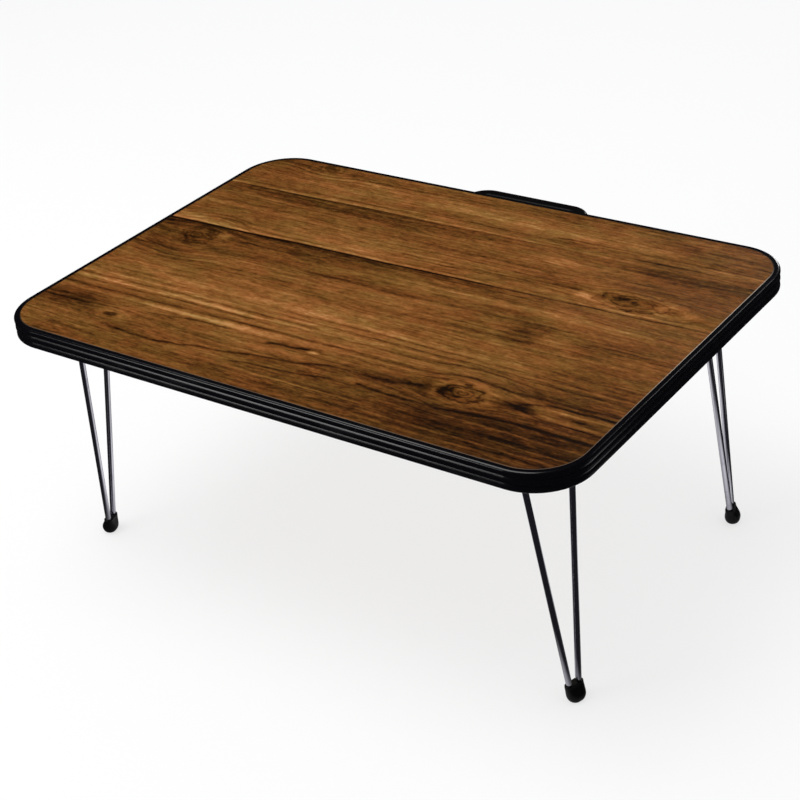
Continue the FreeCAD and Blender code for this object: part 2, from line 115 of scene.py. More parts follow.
class Finish:
    """One material, whose node tree is built up by expressions."""

    # Span that Blender's noise, from 0 to 1, is stretched to
    noise_gain = 4.5
    # Places of the colours among the Mix node's inputs and outputs
    first_colour = 6
    second_colour = 7
    mixed_colour = 2

    def __init__(self, name):
        self.material = bpy.data.materials.new(name)
        self.material.use_nodes = True
        self.tree = self.material.node_tree
        self.shader = self.tree.nodes["Principled BSDF"]

    def feed(self, socket, value):
        if isinstance(value, Signal):
            self.tree.links.new(value.socket, socket)
        else:
            socket.default_value = value

    def add(self, kind, settings, sockets, output=0):
        """Add a node, make its settings, fill its sockets and give one of its outputs."""
        node = self.tree.nodes.new(kind)
        for name, value in settings.items():
            if name == "stops":
                self.set_stops(node.color_ramp, value)
            else:
                setattr(node, name, value)
        for key, value in sockets.items():
            self.feed(node.inputs[key], value)
        return Signal(self, node.outputs[output])

    @staticmethod
    def set_stops(ramp, stops):
        while len(ramp.elements) < len(stops):
            ramp.elements.new(1.0)
        for element, (position, colour) in zip(ramp.elements, stops):
            element.position = position
            element.color = opaque(colour)

    def sum(self, operation, *terms):
        return self.add("ShaderNodeMath", {"operation": operation}, dict(enumerate(terms)))

    def vector(self, operation, *terms, output="Vector"):
        return self.add("ShaderNodeVectorMath", {"operation": operation}, dict(enumerate(terms)), output)

    def spot(self):
        """Place on the object in millimetres, as one vector."""
        place = self.add("ShaderNodeTexCoord", {}, {}, "Object")
        return self.vector("MULTIPLY", place, (1 / MM, 1 / MM, 1 / MM))

    def parts(self, spot):
        """The vector's parts along X, Y and Z."""
        return [self.add("ShaderNodeSeparateXYZ", {}, {0: spot}, axis) for axis in range(3)]

    def join(self, *parts):
        return self.add("ShaderNodeCombineXYZ", {}, dict(enumerate(parts)))

    def noise(self, layer, spot):
        """Noise about zero that seldom goes past one either way."""
        sizes = (1 / layer.length, 1 / layer.width, 1 / layer.height)
        raw = self.add("ShaderNodeTexNoise", {}, {
            "Vector": self.vector("MULTIPLY_ADD", spot, sizes, (0.0, 0.0, layer.seed)),
            "Scale": 1.0,
            "Detail": layer.octaves,
            "Roughness": layer.roughness,
        })
        reach = self.noise_gain / 2
        span = {"Value": raw, "To Min": -reach, "To Max": reach}
        return self.add("ShaderNodeMapRange", {"clamp": False}, span)

    def distance(self, spot, middle, halves):
        """Distance from a middle in plan, one at half the length along X and at half the width along Y."""
        scale = (1 / halves[0], 1 / halves[1], 0.0)
        shift = (-middle[0] / halves[0], -middle[1] / halves[1], 0.0)
        return self.vector("LENGTH", self.vector("MULTIPLY_ADD", spot, scale, shift), output="Value")

    def bell(self, distance):
        """One at no distance, falling smoothly to nothing past about two."""
        return (1 / math.e) ** (distance * distance)

    def rise(self, value, low, high, top=1.0, bottom=0.0):
        """Smooth step from the bottom at the low value to the top at the high one. It falls if low is
        above high."""
        return self.add(
            "ShaderNodeMapRange",
            {"interpolation_type": "SMOOTHSTEP", "clamp": False},
            {"Value": value, "From Min": low, "From Max": high, "To Min": bottom, "To Max": top},
        )

    def ramp(self, value, stops):
        return self.add("ShaderNodeValToRGB", {"stops": stops}, {0: value})

    def mix(self, share, first, second):
        """Colour that goes from the first to the second as the share goes from 0 to 1."""
        return self.add("ShaderNodeMix", {"data_type": "RGBA"}, {
            0: share,
            self.first_colour: first,
            self.second_colour: second,
        }, self.mixed_colour)

    def relief(self, height, depth):
        """Normal of a surface whose relief has a depth in millimetres."""
        return self.add("ShaderNodeBump", {}, {"Height": height, "Distance": depth * MM})

    def paint(self, **sockets):
        """Fill the shader's sockets, named with underscores for spaces."""
        for name, value in sockets.items():
            self.feed(self.shader.inputs[name.replace("_", " ")], value)
        return self.material


def opaque(colour):
    return (*colour, 1.0)


def scaled(colour, share):
    return tuple(part * share for part in colour)


def nodes_named(stem):
    return [frame["nodes"][name] for name in sorted(frame["nodes"]) if name.startswith(stem)]


def dress(stem, material):
    """Give a material to every CAD node whose name starts with a stem."""
    found = nodes_named(stem)
    if not found:
        raise RuntimeError("no node is named " + stem)
    for node in found:
        for material_slot in node.material_slots:
            material_slot.material = material


def colour_property(name, description, default):
    return FloatVectorProperty(
        name=name, description=description, default=default, subtype="COLOR", min=0.0, max=1.0
    )


def length_property(name, description, default):
    return FloatProperty(
        name=name, description=description, default=default, unit="LENGTH", subtype="DISTANCE"
    )


def angle_property(name, description, degrees):
    return FloatProperty(
        name=name, description=description, default=math.radians(degrees), unit="ROTATION", subtype="ANGLE"
    )


def share_property(name, description, default):
    return FloatProperty(name=name, description=description, default=default, min=0.0, max=1.0)


# Wood print. Places and sizes on the print are in millimetres, in the table's own frame.


class Knot(NamedTuple):
    """A knot of the print: its middle, half its length and width, its rings, how dark its core and its rings
    are, and how light the rim round it is."""

    x: float
    y: float
    half_length: float
    half_width: float
    rings: float
    core: float
    ring_tone: float
    rim: float = 0.05


class Shade(NamedTuple):
    """A lighter or darker stretch of the print: its middle, half its length and width, and its tone."""

    x: float
    y: float
    half_length: float
    half_width: float
    tone: float


class Joint(NamedTuple):
    """A line where two printed planks meet: its place at the middle, its slope, and the tones of its
    dark line, of the light lip behind it and of the shade before it, which fades between two places."""

    y: float
    slope: float
    line: float
    lip: float
    shade: float
    shade_end: tuple


class Seam(NamedTuple):
    """A line in the grain: the places it runs through from left to right, half its width, how dark it is,
    and the length over which it fades at either end."""

    places: tuple
    half_width: float
    darkness: float
    fade: float = 24.0


KNOTS = [
    Knot(-212, 176, 17, 12, 2.5, 0.16, 0.12),
    Knot(212, 44, 38, 13, 2.5, 0.00, 0.22, 0.20),
    Knot(200, 49, 12, 7, 1.5, 0.16, 0.10),
    Knot(250, 45, 10, 6, 1.5, 0.08, 0.10),
    Knot(-239, -9, 21, 20, 3.5, -0.05, 0.17, 0.10),
    Knot(161, -150, 20, 14, 2.5, 0.02, 0.24, 0.16),
    Knot(-203, -173, 15, 5.5, 0.6, 0.46, 0.10),
    Knot(76, -175, 6, 3, 0.8, 0.10, 0.20),
]
SHADES = [
    Shade(-140, 101, 150, 9, -0.10),
    Shade(140, 91, 110, 10, 0.12),
    Shade(232, 92, 70, 22, -0.12),
    Shade(-120, 72, 10, 4, 0.16),
    Shade(-99, 70, 4, 7, -0.14),
    Shade(-80, 46, 150, 17, 0.17),
    Shade(-278, 27, 20, 7, 0.24),
    Shade(-130, 4, 120, 12, -0.10),
    Shade(-278, 4, 24, 14, -0.16),
    Shade(5, -6, 90, 12, 0.12),
    Shade(200, -4, 60, 12, 0.14),
    Shade(-250, -12, 44, 32, -0.10),
    Shade(-170, -26, 150, 7, -0.12),
    Shade(-262, -46, 40, 14, -0.12),
    Shade(70, -54, 44, 7, -0.13),
    Shade(-20, -84, 210, 10, 0.20),
    Shade(-90, -108, 190, 14, 0.17),
    Shade(255, -112, 48, 12, -0.20),
    Shade(205, -126, 90, 9, -0.10),
    Shade(280, -146, 26, 14, -0.16),
    Shade(190, -193, 110, 8, -0.12),
    Shade(-212, 1, 9, 5, 0.20),
    Shade(-114, -118, 260, 24, 0.10),
    Shade(-115, -141, 95, 5, 0.10),
    # Painted shade: the front right corner is darker, as the light falls from the left and the back
    Shade(225, -188, 150, 30, -0.30),
    Shade(40, -205, 140, 16, -0.10),
    Shade(-180, -200, 140, 18, -0.06),
    Shade(75, -160, 62, 5, -0.20),
    Shade(124, -154, 26, 7, -0.18),
    Shade(-262, -166, 38, 12, -0.40),
    Shade(151, -36, 20, 12, -0.18),
    Shade(153, -54, 17, 10, -0.18),
    Shade(110, -28, 45, 8, -0.08),
    Shade(240, -35, 46, 7, -0.14),
    Shade(188, -43, 17, 6, 0.14),
    Shade(255, -84, 46, 7, -0.20),
    Shade(-275, 160, 48, 30, -0.12),
    Shade(120, 178, 110, 7, -0.05),
    Shade(205, 160, 42, 5, -0.12),
    Shade(10, 148, 200, 14, 0.18),
    Shade(-150, 29, 140, 7, 0.12),
    Shade(-73, 31, 16, 4, 0.16),
    Shade(152, 37, 30, 6, 0.16),
    Shade(9.5, -150.5, 9, 4.6, -0.30),
    Shade(9.5, -150.5, 5, 2.4, 0.75),
    Shade(213, -147.5, 12, 6.5, -0.42),
    Shade(147, -151, 5, 9, -0.30),
    Shade(170, -153, 8, 4, 0.22),
    Shade(111, -162, 10, 2.5, 0.20),
    Shade(-30, -160, 60, 7, 0.10),
    # Painted shade: the front right corner is darker, as the light falls from the left and the back
    Shade(268, -205, 60, 22, -0.15),
    Shade(20, 141, 170, 7, 0.08),
    Shade(-60, 168, 60, 8, -0.09),
    Shade(-260, 114, 50, 8, -0.08),
    Shade(-165, 86, 80, 8, -0.08),
    Shade(40, 66, 80, 13, -0.10),
    Shade(-185, 45, 80, 8, -0.10),
    Shade(-190, 16, 80, 8, -0.09),
    Shade(80, 14, 120, 10, -0.10),
    Shade(20, -40, 50, 7, 0.10),
    Shade(-90, -52, 60, 8, 0.07),
    Shade(225, 158, 40, 8, -0.08),
    # Painted shade that offsets the lamps' sheen on the right of the top
    Shade(262, 118, 60, 60, -0.09),
]
JOINTS = [
    Joint(20.5, 0.018, 0.50, 0.32, 0.26, (140, -60)),
    Joint(111.8, 0.0095, 0.10, 0.20, 0.20, (120, -40)),
]
SEAMS = [
    Seam(((-205, 119), (-100, 119.5)), 1.3, 0.16),
    Seam(((-190, 122.5), (0, 121.5)), 1.5, -0.12),
    Seam(((75, 131.3), (150, 132.7)), 1.6, 0.24),
    Seam(((163, 121), (252, 122.5)), 1.5, 0.28),
    Seam(((225, 130), (320, 130.5)), 1.4, -0.14),
    Seam(((205, 166), (250, 166.5)), 1.5, -0.14),
    Seam(((-250, 32.5), (-140, 33.5)), 2.0, 0.16),
    Seam(((-60, 41), (150, 43)), 1.6, 0.18),
    Seam(((-75, 36), (70, 36.5)), 1.2, 0.15),
    Seam(((-205, -3.5), (-80, -3)), 1.8, 0.18),
    Seam(((-100, -28), (-45, -27.5), (40, -31)), 2.2, 0.20),
    Seam(((-320, -41), (-215, -45.5)), 1.6, 0.20),
    Seam(((-170, -99), (60, -98), (320, -101)), 1.5, 0.14),
    Seam(((-160, -107.5), (0, -107), (320, -110)), 1.5, 0.16),
    Seam(((-320, -111), (-100, -109), (0, -109)), 1.8, -0.16),
    Seam(((-320, -117), (-100, -114), (0, -113.5)), 1.8, 0.26),
    Seam(((-320, -122.5), (-100, -120), (0, -118)), 2.2, -0.16),
    Seam(((-320, -129), (-150, -125), (0, -120), (100, -118.5), (155, -111), (210, -115)), 1.8, 0.22),
    Seam(((-320, -138), (0, -133.5), (110, -133), (155, -126), (200, -130), (320, -127)), 1.9, 0.28),
    Seam(((-205, -143.5), (-100, -141.5), (-20, -141)), 2.6, -0.24),
    Seam(((-182, -156), (-112, -147.5), (-68, -146.5)), 1.6, 0.24),
    Seam(((-46, -152.5), (-16, -150.5), (10, -146)), 2.4, 0.55, 14),
    Seam(
        ((-205, -190.5), (-138, -194), (-112, -190), (-90, -184), (0, -172), (35, -161.5), (60, -160)),
        1.7,
        0.34,
    ),
    Seam(((40, -161), (90, -161), (145, -150)), 2.2, 0.22),
    Seam(((-60, -192), (-5, -186), (68, -178)), 1.4, 0.26),
    Seam(((66, -173), (90, -177.5), (150, -178), (208, -171.5), (320, -172)), 1.7, 0.34),
    Seam(((208, -143), (242, -134.5), (320, -134)), 1.6, 0.38, 12),
    Seam(((228, -141.5), (320, -140)), 1.6, -0.24),
    Seam(((238, -146), (290, -147)), 1.8, 0.28),
    Seam(((208, -150), (250, -157.5), (320, -159)), 1.5, 0.32, 12),
    Seam(((222, -150), (260, -153.5), (320, -154.5)), 1.5, -0.22),
    Seam(((140, -184.5), (320, -186)), 1.3, -0.16),
    Seam(((-120, -200), (100, -199), (320, -201)), 1.3, -0.12),
    Seam(((20, -208), (320, -209)), 1.4, -0.14),
    Seam(((-262, -206), (-180, -209.5)), 1.5, 0.18),
]
# Colours of the print from dark to light, and the noises that make its tone. A REACH moves a place by
# millimetres and a TONE adds to the tone.
PRINT_TONES = [
    (0.00, (0.010, 0.0030, 0.0003)),
    (0.25, (0.056, 0.0182, 0.0018)),
    (0.50, (0.146, 0.0540, 0.0090)),
    (0.75, (0.252, 0.1030, 0.0240)),
    (1.00, (0.420, 0.2100, 0.0680)),
]
MEAN_TONE = 0.53
WANDER = Layer(230, 70, octaves=1, seed=3.1)
SHORT_WANDER = Layer(50, 16, octaves=1, seed=8.4)
WANDER_REACH = 2.8
SHORT_WANDER_REACH = 0.8
BROAD = Layer(260, 20, seed=1.7)
STREAKS = Layer(520, 5.5, octaves=3, roughness=0.64, seed=5.2)
FINE_STREAKS = Layer(190, 2.1, roughness=0.6, seed=6.6)
MOTTLE = Layer(11, 3.2, roughness=0.6, seed=14.3)
SPECKLE = Layer(3.8, 2.4, octaves=1, seed=21.2)
BLOTCHES = Layer(46, 15, seed=16.8)
FIBRES = Layer(14, 0.4, seed=9.9)
PORES = Layer(5, 0.35, octaves=1, seed=4.4)
BROAD_TONE = 0.04
STREAK_TONE = 0.12
FINE_TONE = 0.10
MOTTLE_TONE = 0.13
SPECKLE_TONE = 0.065
BLOTCH_TONE = 0.08
FIBRE_TONE = 0.10
TINTS = Layer(40, 15, octaves=3, roughness=0.65, seed=18.5)
TINT_RANGE = (-0.9, 0.9)
OLIVE_TINT = (0.91, 1.03, 0.95)
RUSSET_TINT = (1.10, 0.96, 1.0)
LINES = Layer(420, 8.0, octaves=1, seed=7.7)
LINE_SHARE = 0.085
LINE_TONE = 0.12
LINE_PATCHES = Layer(160, 24, octaves=1, seed=12.1)
RING_PITCH = 8.0
RING_WOBBLE = Layer(320, 34, octaves=1, seed=2.2)
RING_WOBBLE_SHARE = 0.5
RING_TONE = 0.16
RING_SHARPNESS = 5.0
RING_PATCHES = Layer(240, 40, octaves=1, seed=7.3)
PATCH_RANGE = (-0.5, 0.8)
PLANK_SEED = 13.0
# Distances from the middle of a knot or a shade are in halves of its own length and width
SHADE_EDGE = 1.9
KNOT_BULGE = 0.7
KNOT_BULGE_EDGE = 3.4
KNOT_WOBBLE = Layer(12, 8, seed=1.1)
KNOT_WOBBLE_SHARE = 0.22
KNOT_CORE = (0.75, 0.1)
KNOT_EDGE = (1.35, 0.95)
KNOT_RING_SHARPNESS = 2.5
KNOT_RIM = 1.25
KNOT_RIM_WIDTH = 0.22
SEAM_WOBBLE = Layer(30, 30, seed=3.9)
SEAM_WOBBLE_REACH = 1.1
JOINT_WOBBLE = Layer(80, 400, octaves=1, seed=6.0)
JOINT_WOBBLE_REACH = 0.7
# Widths in millimetres, and how bold a joint is past the end of its shade
JOINT_LINE = 1.3
JOINT_LIP = 2.1
JOINT_SHADE = 11.0
JOINT_RIGHT_SHARE = 0.6
# The cut edge carries a painted highlight at the front and the right, past a range of x - y and up to a
# range of y, and the painted highlight brightens backwards over another range of y. It fades between two
# shares of its width.
EDGE_HIGHLIGHT_SIDE = (-90, 30)
EDGE_HIGHLIGHT_END = (165, 110)
EDGE_HIGHLIGHT_RAMP = (-190, 20)
EDGE_FADE = (1.2, 0.6)
ROUGHER_BY_TONE = -0.12
ROUGHER_BY_RELIEF = 0.03


class WoodPrintLook(bpy.types.PropertyGroup):
    roughness: share_property("Roughness", "Roughness of the satin top coat", 0.48)
    specular: share_property("Specular", "Strength of the top coat's shine", 0.04)
    emboss_depth: length_property("Emboss", "Depth of the pressed wood pores", 0.00006)
    # The cut edge's pale and dull colours and the pale line's width make a painted highlight along the front
    # and right edges
    painted_edge_highlight: colour_property("Cut edge", "Colour of the cut edge where it is rubbed", (0.42, 0.36, 0.29))
    dim_edge_highlight: colour_property("Dull cut edge", "Colour of the cut edge along the front", (0.13, 0.09, 0.06))
    dark_edge: colour_property("Dark cut edge", "Colour of the cut edge at the back", (0.006, 0.004, 0.003))
    painted_edge_highlight_width: length_property("Cut edge width", "Width of the pale line along the front", 0.0005)
    dark_edge_width: length_property("Dark edge width", "Width of the dark line along the back", 0.0011)
    corner_radius: length_property("Corner radius", "Corner radius of the board in plan", 0.0445)


def seam_tone(wood, seam, x, y):
    """How much a seam darkens the print at a place."""
    (start, middle), (end, _) = seam.places[0], seam.places[-1]
    for (from_x, from_y), (to_x, to_y) in zip(seam.places, seam.places[1:]):
        middle = wood.rise(x, from_x, to_x, to_y - from_y) + middle
    within = wood.rise(x, start, start + seam.fade, seam.darkness) * wood.rise(x, end, end - seam.fade)
    return wood.bell((y - middle) / seam.half_width) * within


def joint_tone(wood, joint, x, gap):
    """How much a joint darkens the print: a dark line, a light lip behind it and a shade before it."""
    left_share = wood.rise(x, *joint.shade_end)
    line = wood.bell((gap + JOINT_LINE) / JOINT_LINE) * joint.line
    lip = wood.bell((gap - JOINT_LIP) / JOINT_LIP) * joint.lip
    before = wood.sum("GREATER_THAN", 0.0, gap) * wood.sum("EXPONENT", gap / JOINT_SHADE)
    bold = left_share * (1 - JOINT_RIGHT_SHARE) + JOINT_RIGHT_SHARE
    return (line - lip) * bold + before * left_share * joint.shade


def knot_tone(wood, knot, radius):
    """How much a knot darkens the print: its rings and its core, less the light rim."""
    wave = wood.sum("SINE", radius * (knot.rings * math.tau)) * 0.5 + 0.5
    rings = wave ** KNOT_RING_SHARPNESS * wood.rise(radius, *KNOT_EDGE, knot.ring_tone)
    rim = wood.bell((radius - KNOT_RIM) / KNOT_RIM_WIDTH) * knot.rim
    return rings + wood.rise(radius, *KNOT_CORE, knot.core) - rim


def grain_tone(wood, spot, plank_spot, grain_spot, growth):
    """Tone of the plain grain from 0, dark, to 1, light, and the height of its relief."""
    streaks = wood.noise(STREAKS, grain_spot)
    tone = wood.noise(BROAD, plank_spot) * BROAD_TONE + MEAN_TONE
    tone = tone + streaks * STREAK_TONE
    tone = tone + wood.noise(FINE_STREAKS, grain_spot) * FINE_TONE
    tone = tone + wood.noise(FIBRES, grain_spot) * FIBRE_TONE
    tone = tone + wood.noise(MOTTLE, grain_spot) * MOTTLE_TONE
    tone = tone + wood.noise(SPECKLE, spot) * SPECKLE_TONE
    tone = tone + wood.noise(BLOTCHES, grain_spot) * BLOTCH_TONE

    # Thin dark lines that follow the grain in long loops
    loops = wood.bell(wood.noise(LINES, grain_spot) / LINE_SHARE)
    tone = tone - loops * wood.rise(wood.noise(LINE_PATCHES, plank_spot), *PATCH_RANGE, LINE_TONE)

    # Growth rings: each fades in slowly and ends in a thin dark line
    wobble = wood.noise(RING_WOBBLE, grain_spot) * RING_WOBBLE_SHARE
    ring = wood.sum("FRACT", growth / RING_PITCH + wobble)
    strength = wood.rise(wood.noise(RING_PATCHES, plank_spot), *PATCH_RANGE, RING_TONE)
    tone = tone - (ring ** RING_SHARPNESS) * strength
    return tone, streaks + wood.noise(PORES, grain_spot)


def tone_of_print(wood, spot, x, y):
    """Tone of the print from 0, dark, to 1, light, and the height of its relief."""
    wander = wood.noise(WANDER, spot) * WANDER_REACH + wood.noise(SHORT_WANDER, spot) * SHORT_WANDER_REACH
    plank = 0.0
    joint_gaps = []
    joint_wobble = wood.noise(JOINT_WOBBLE, spot) * JOINT_WOBBLE_REACH
    for joint in JOINTS:
        gap = y - (x * joint.slope + joint_wobble + joint.y)
        plank = wood.sum("GREATER_THAN", gap, 0.0) * PLANK_SEED + plank
        joint_gaps.append(gap)
    growth = y + wander
    uneven = wood.noise(KNOT_WOBBLE, spot) * KNOT_WOBBLE_SHARE
    radii = []
    for knot in KNOTS:
        radius = wood.distance(spot, (knot.x, knot.y), (knot.half_length, knot.half_width))
        growth = growth - (y - knot.y) * wood.rise(radius, KNOT_BULGE_EDGE, 0.0, KNOT_BULGE)
        radii.append(radius + uneven)
    tone, relief = grain_tone(wood, spot, wood.join(x, y, plank), wood.join(x, growth, plank), growth)

    # Each kind of mark has its own sum, added at the end, because the renderer holds few of a
    # material's values at a time
    drifted_spot = wood.join(x, y + wander, 0.0)
    shades = 0.0
    for shade in SHADES:
        away = wood.distance(drifted_spot, (shade.x, shade.y), (shade.half_length, shade.half_width))
        shades = wood.rise(away, SHADE_EDGE, 0.0, shade.tone) + shades
    wobbled_spot = wood.join(x, wood.noise(SEAM_WOBBLE, spot) * SEAM_WOBBLE_REACH + y, 0.0)
    seam_x, seam_y, _ = wood.parts(wobbled_spot)
    seams = 0.0
    for seam in SEAMS:
        seams = seam_tone(wood, seam, seam_x, seam_y) + seams
    knots = 0.0
    for knot, radius in zip(KNOTS, radii):
        knots = knot_tone(wood, knot, radius) + knots
    joints = 0.0
    for joint, gap in zip(JOINTS, joint_gaps):
        joints = joint_tone(wood, joint, x, gap) + joints
    return tone + shades - seams - knots - joints, relief


def edge_of_print(wood, look, x, y):
    """How far a place belongs to the print's cut edge, and the cut edge's colour there: a painted highlight
    at the front and the right, and a dark line at the back and the left.
    """
    low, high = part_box("grain_laminate")
    radius = look.corner_radius / MM
    half = (high - low) / (2 * MM)
    middle = (high + low) / (2 * MM)
    past_x = wood.sum("MAXIMUM", abs(x - middle.x) - (half.x - radius), 0.0)
    past_y = wood.sum("MAXIMUM", abs(y - middle.y) - (half.y - radius), 0.0)
    inside = radius - wood.sum("SQRT", past_x * past_x + past_y * past_y)
    # Painted highlight: pale at the front and the right, brightening backwards from the dull front colour
    is_highlit = wood.rise(x - y, *EDGE_HIGHLIGHT_SIDE) * wood.rise(y, *EDGE_HIGHLIGHT_END)
    width = is_highlit * ((look.painted_edge_highlight_width - look.dark_edge_width) / MM) + look.dark_edge_width / MM
    pale = wood.mix(wood.rise(y, *EDGE_HIGHLIGHT_RAMP), opaque(look.dim_edge_highlight), opaque(look.painted_edge_highlight))
    return wood.rise(inside / width, *EDGE_FADE), wood.mix(is_highlit, opaque(look.dark_edge), pale)


def make_wood_print(look):
    """Satin brown pine print with planks, knots and pressed pores, with a painted highlight along the front
    and right edges and painted shade at the right.
    """
    wood = Finish("wood_print")
    spot = wood.spot()
    x, y, _ = wood.parts(spot)
    tone, relief = tone_of_print(wood, spot, x, y)
    tint_share = wood.rise(wood.noise(TINTS, spot), *TINT_RANGE)
    tint = wood.mix(tint_share, opaque(OLIVE_TINT), opaque(RUSSET_TINT))
    colour = wood.vector("MULTIPLY", wood.ramp(tone, PRINT_TONES), tint)
    edge, edge_colour = edge_of_print(wood, look, x, y)
    return wood.paint(
        Base_Color=wood.mix(edge, colour, edge_colour),
        Roughness=tone * ROUGHER_BY_TONE + relief * ROUGHER_BY_RELIEF + look.roughness,
        Normal=wood.relief(relief, look.emboss_depth / MM),
        Specular_IOR_Level=look.specular,
    )


class LOWTABLE_OT_wood_print(bpy.types.Operator):
    """Lay the wood print over the top"""

    bl_idname = "lowtable.wood_print"
    bl_label = "Wood print"

    def execute(self, context):
        dress("grain_laminate", make_wood_print(context.scene.low_table_print))
        return {"FINISHED"}


# Board: fibreboard core and backing paper


class BoardLook(bpy.types.PropertyGroup):
    fibre_light: colour_property("Light fibre", "Lighter fibres of the core", (0.40, 0.28, 0.17))
    fibre_dark: colour_property("Dark fibre", "Darker fibres of the core", (0.20, 0.125, 0.07))
    paper: colour_property("Backing paper", "Colour of the sheet under the top", (0.60, 0.55, 0.47))
    paper_fleck: colour_property("Paper fleck", "Colour of the sheet's flecks", (0.47, 0.41, 0.33))
    core_roughness: share_property("Core roughness", "Roughness of the core", 0.85)
    paper_roughness: share_property("Paper roughness", "Roughness of the sheet under the top", 0.72)


# From here on, a RANGE is the noise over which the first colour gives way to the second, a ROUGHER is
# what the noise adds to the roughness, and a RELIEF is a depth in millimetres.
CORE_FIBRES = Layer(1.6, 0.7, 1.0, 3)
CORE_CLOUDS = Layer(14, 14, 4)
CORE_FIBRE_SHARE = 0.3
CORE_CLOUD_SHARE = 0.15
CORE_RANGE = (-0.5, 0.5)
CORE_ROUGHER = 0.1
CORE_RELIEF = 0.05
PAPER_FIBRES = Layer(2.6, 0.9, 1.0, 3, 0.6)
PAPER_CLOUDS = Layer(70, 50, 20)
PAPER_FIBRE_SHARE = 0.5
PAPER_CLOUD_SHARE = 0.35
PAPER_RANGE = (-0.2, 1.1)
PAPER_ROUGHER = 0.05
PAPER_RELIEF = 0.02


def make_fibreboard(look):
    """Pressed wood fibre, rough and speckled."""
    board = Finish("fibreboard")
    spot = board.spot()
    fibres = board.noise(CORE_FIBRES, spot) * CORE_FIBRE_SHARE
    speckle = fibres + board.noise(CORE_CLOUDS, spot) * CORE_CLOUD_SHARE
    share = board.rise(speckle, *CORE_RANGE)
    return board.paint(
        Base_Color=board.mix(share, opaque(look.fibre_dark), opaque(look.fibre_light)),
        Roughness=speckle * CORE_ROUGHER + look.core_roughness,
        Normal=board.relief(speckle, CORE_RELIEF),
    )


def make_backing_paper(look):
    """Pale matt backing paper with fine flecks and faint clouds."""
    paper = Finish("backing")
    spot = paper.spot()
    flecks = paper.noise(PAPER_FIBRES, spot)
    clouds = paper.noise(PAPER_CLOUDS, spot)
    share = paper.rise(flecks * PAPER_FIBRE_SHARE + clouds * PAPER_CLOUD_SHARE, *PAPER_RANGE)
    return paper.paint(
        Base_Color=paper.mix(share, opaque(look.paper), opaque(look.paper_fleck)),
        Roughness=clouds * PAPER_ROUGHER + look.paper_roughness,
        Normal=paper.relief(flecks, PAPER_RELIEF),
    )


class LOWTABLE_OT_board(bpy.types.Operator):
    """Finish the board's core and the sheet under it"""

    bl_idname = "lowtable.board"
    bl_label = "Board"

    def execute(self, context):
        look = context.scene.low_table_board
        dress("board_core", make_fibreboard(look))
        dress("backing_sheet", make_backing_paper(look))
        return {"FINISHED"}


# Black plastics: edge trim, carry handle and foot caps


class PlasticLook(bpy.types.PropertyGroup):
    trim: colour_property("Trim", "Colour of the edge trim", (0.0015, 0.0015, 0.0026))
    handle: colour_property("Handle", "Colour of the carry handle", (0.0024, 0.0015, 0.0015))
    cap: colour_property("Cap", "Colour of the foot caps", (0.0020, 0.0020, 0.0022))
    scuff: colour_property("Scuff", "Colour where the plastic is rubbed", (0.009, 0.009, 0.010))
    trim_roughness: share_property("Trim roughness", "Roughness of the edge trim", 0.20)
    handle_roughness: share_property("Handle roughness", "Roughness of the carry handle", 0.36)
    cap_roughness: share_property("Cap roughness", "Roughness of the foot caps where clean", 0.34)
    handle_specular: share_property("Handle specular", "Strength of the carry handle's shine", 0.15)
    cap_specular: share_property("Cap specular", "Strength of the foot caps' shine", 0.18)


TRIM_LINES = Layer(900, 900, 0.35)
TRIM_HAZE = Layer(60, 40, 20, 3)
TRIM_RANGE = (0.4, 1.6)
TRIM_ROUGHER_BY_HAZE = 0.02
TRIM_ROUGHER_BY_LINES = 0.015
TRIM_RELIEF = 0.004
HANDLE_GRAIN = Layer(0.6, 0.6, 0.6, 1)
HANDLE_HAZE = Layer(24, 24, 24, 3)
HANDLE_RANGE = (0.3, 1.5)
HANDLE_ROUGHER = 0.05
HANDLE_RELIEF = 0.015
CAP_GRAIN = Layer(0.5, 0.5, 0.5)
CAP_HAZE = Layer(5, 5, 5, 3)
CAP_ROUGHER_BY_HAZE = 0.05
CAP_ROUGHER_BY_DUST = 0.25
CAP_RELIEF = 0.01
# Dust thins out between two heights in millimetres, which the haze shifts
DUST_HEIGHTS = (4.0, 0.0)
DUST_WAVER = 1.5
DUST_SHARE = 0.4


def make_trim_plastic(look):
    """Extruded black plastic with fine draw lines along its run."""
    trim = Finish("black_trim")
    spot = trim.spot()
    lines = trim.noise(TRIM_LINES, spot)
    haze = trim.noise(TRIM_HAZE, spot)
    return trim.paint(
        Base_Color=trim.mix(trim.rise(haze, *TRIM_RANGE), opaque(look.trim), opaque(look.scuff)),
        Roughness=haze * TRIM_ROUGHER_BY_HAZE + lines * TRIM_ROUGHER_BY_LINES + look.trim_roughness,
        Normal=trim.relief(lines, TRIM_RELIEF),
    )


def make_handle_plastic(look):
    """Moulded black plastic with a fine spark-eroded grain."""
    handle = Finish("black_handle")
    spot = handle.spot()
    grain = handle.noise(HANDLE_GRAIN, spot)
    haze = handle.noise(HANDLE_HAZE, spot)
    return handle.paint(
        Base_Color=handle.mix(handle.rise(haze, *HANDLE_RANGE), opaque(look.handle), opaque(look.scuff)),
        Roughness=haze * HANDLE_ROUGHER + look.handle_roughness,
        Normal=handle.relief(grain, HANDLE_RELIEF),
        Specular_IOR_Level=look.handle_specular,
    )


